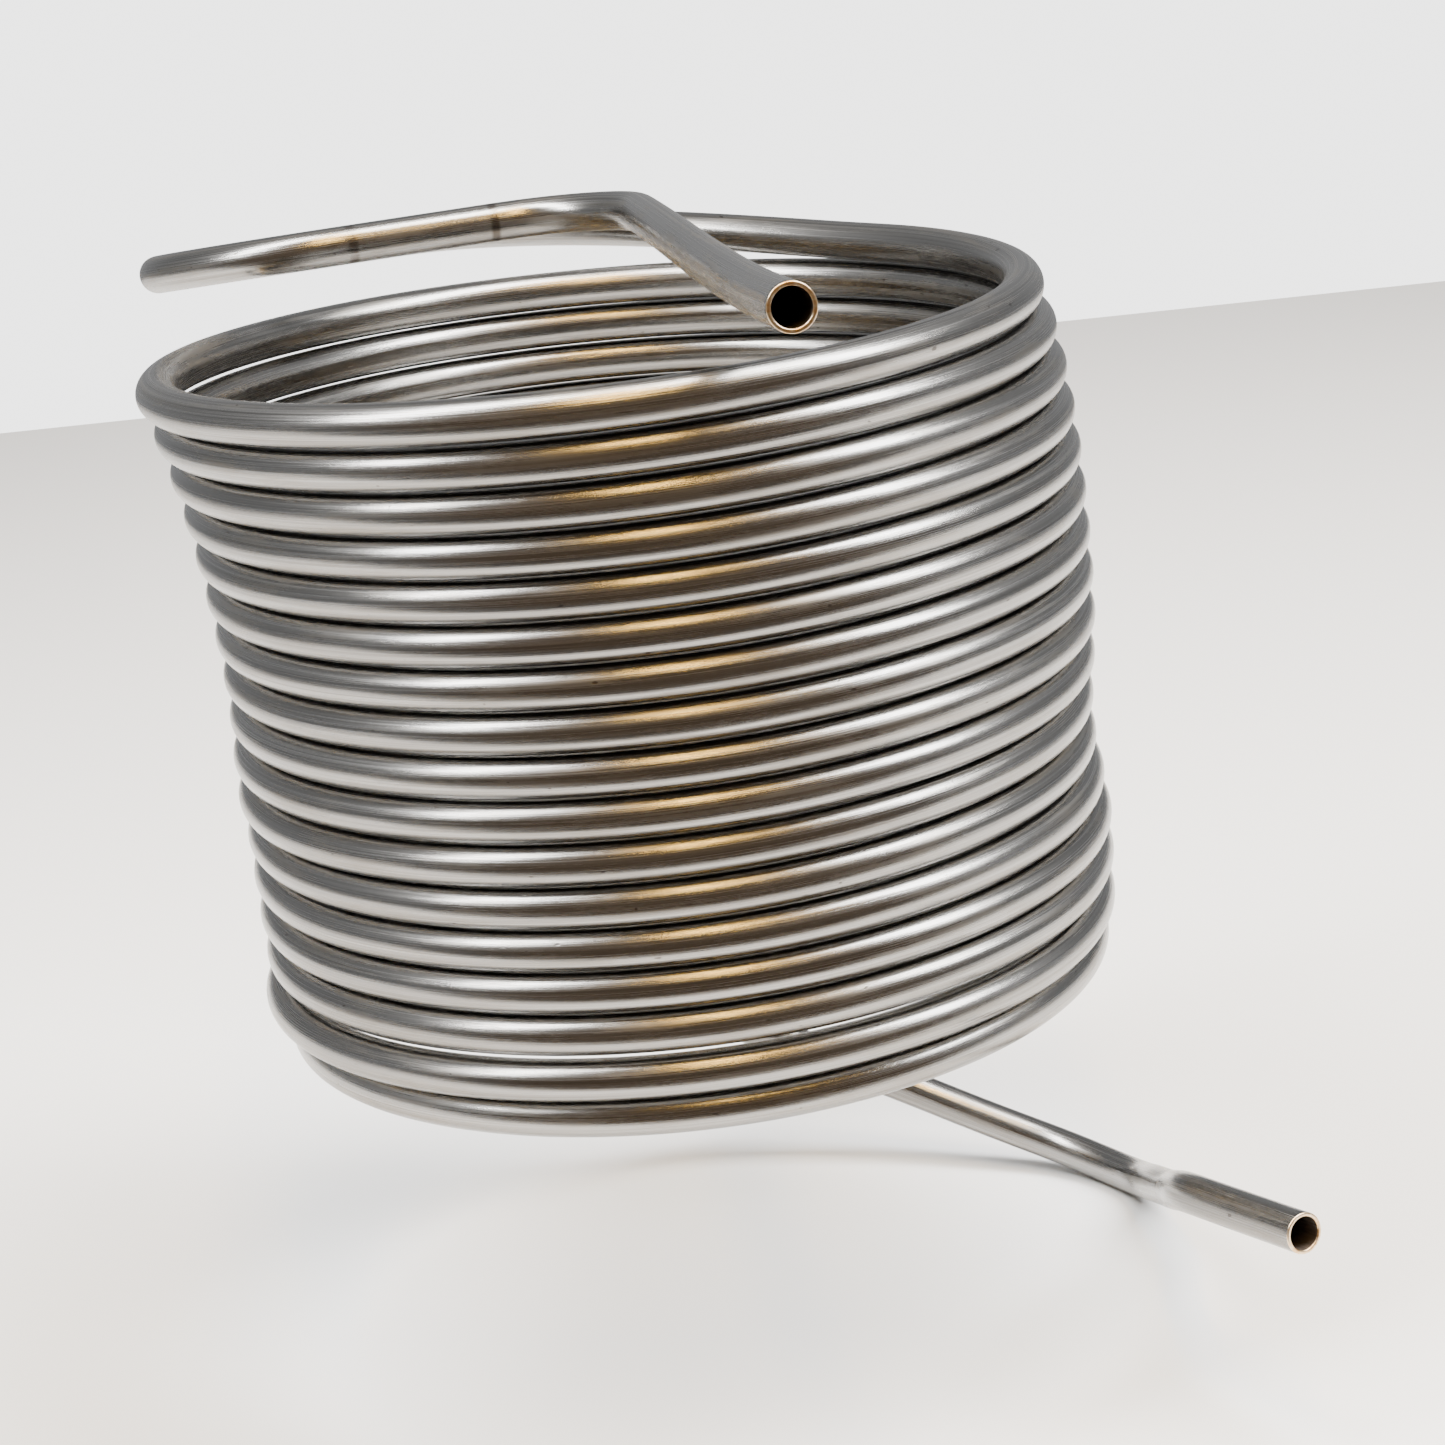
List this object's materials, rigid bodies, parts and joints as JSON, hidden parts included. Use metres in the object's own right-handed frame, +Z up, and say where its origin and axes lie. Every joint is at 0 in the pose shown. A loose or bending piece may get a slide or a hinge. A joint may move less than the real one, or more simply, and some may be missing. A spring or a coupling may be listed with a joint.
{
  "type": "immersion wort chiller",
  "caption": "Close coil of stainless tube that stands in a kettle of hot wort; cold water runs through it from its low tail to the spout looped over its top.",
  "frame": {"origin": "on the coil's axis, level with the lowest point of the tube, so the part stands on the plane z = 0", "axes": "+Z up along the coil's axis; -Y the way the spout points; +X to the side where the tail comes out"},
  "size_m": [0.3402, 0.4302, 0.3833],
  "materials": {
    "tube": "drawn stainless steel, fine streaks along the tube"
  },
  "bodies": {
    "root": {"turn_01": "tube", "turn_02": "tube", "turn_03": "tube", "turn_04": "tube", "turn_05": "tube", "turn_06": "tube", "turn_07": "tube", "turn_08": "tube", "turn_09": "tube", "turn_10": "tube", "turn_11": "tube", "turn_12": "tube", "turn_13": "tube", "turn_14": "tube", "turn_15": "tube", "turn_16": "tube", "turn_17": "tube", "top_lead": "tube", "return_loop": "tube", "cross_arm": "tube", "elbow": "tube", "spout": "tube", "spout_end": "tube", "tail_drop": "tube", "tail_run": "tube", "tail_end": "tube"}
  },
  "joints": []
}
